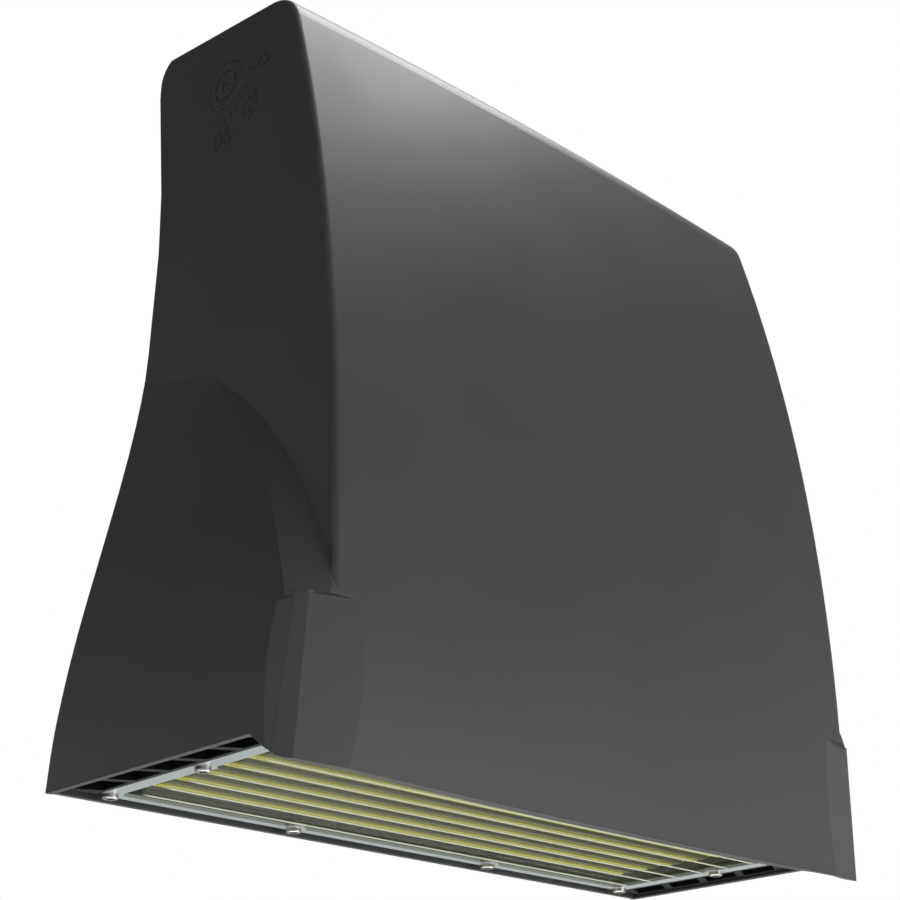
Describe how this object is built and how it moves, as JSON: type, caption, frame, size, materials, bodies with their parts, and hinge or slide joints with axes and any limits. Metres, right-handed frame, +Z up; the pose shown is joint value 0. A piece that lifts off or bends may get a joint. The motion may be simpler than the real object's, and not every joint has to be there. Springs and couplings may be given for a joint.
{
  "type": "wall_pack_light",
  "caption": "Tilting cut-off wall pack LED light with a flared die-cast head on a wall box, dark grey, plain",
  "frame": {"origin": "centre of the two screws to the outlet box, on the wall plane, level with the tilt axis", "axes": "+X to the right along the wall, +Y into the wall, +Z up; the light shines down and out along -Y"},
  "size_m": [0.36, 0.1592, 0.3734],
  "materials": {
    "cast_paint": "die-cast, satin powder coat",
    "tray_paint": "die-cast, satin powder coat",
    "zinc_steel": "zinc plated",
    "screw_steel": "stainless",
    "gasket_rubber": "matte silicone",
    "black_plastic": "moulded",
    "ground_green": "dyed green",
    "clear_lens": "clear polycarbonate",
    "pale_frame": "gloss light grey",
    "board_mask": "olive solder mask",
    "phosphor": "silicone with phosphor",
    "bare_aluminium": "satin extruded",
    "driver_case": "satin white",
    "lead_jacket": "matte jacket"
  },
  "bodies": {
    "wall_mount": {"wall_box": "cast_paint", "mounting_plate": "zinc_steel", "wall_gasket": "gasket_rubber", "plate_lock_screws": "screw_steel", "pivot_hub_left": "cast_paint", "pivot_hub_right": "cast_paint", "hub_bolts": "screw_steel", "friction_washers": "screw_steel", "terminal_block": "black_plastic", "ground_screw": "ground_green", "box_gland": "black_plastic"},
    "head": {"housing": "cast_paint", "rear_cover": "cast_paint", "cover_gasket": "gasket_rubber", "cover_screws": "screw_steel", "light_tray": "tray_paint", "tray_screws": "screw_steel", "lens": "clear_lens", "lens_gasket": "gasket_rubber", "lens_frame": "pale_frame", "lens_screws": "screw_steel", "led_boards": "board_mask", "phosphor_strips": "phosphor", "heat_sink": "bare_aluminium", "heat_sink_screws": "screw_steel", "driver": "driver_case", "driver_bracket": "zinc_steel", "driver_screws": "screw_steel", "surge_protector": "black_plastic", "cover_gland": "black_plastic", "breather_vent": "black_plastic", "input_leads": "lead_jacket", "output_leads": "lead_jacket"}
  },
  "joints": [
    {"name": "head_tilt", "type": "hinge", "parent": "wall_mount", "child": "head", "pos_m": [0, -0.068, 0], "axis": [-1, 0, 0], "range_deg": [0, 90]}
  ]
}
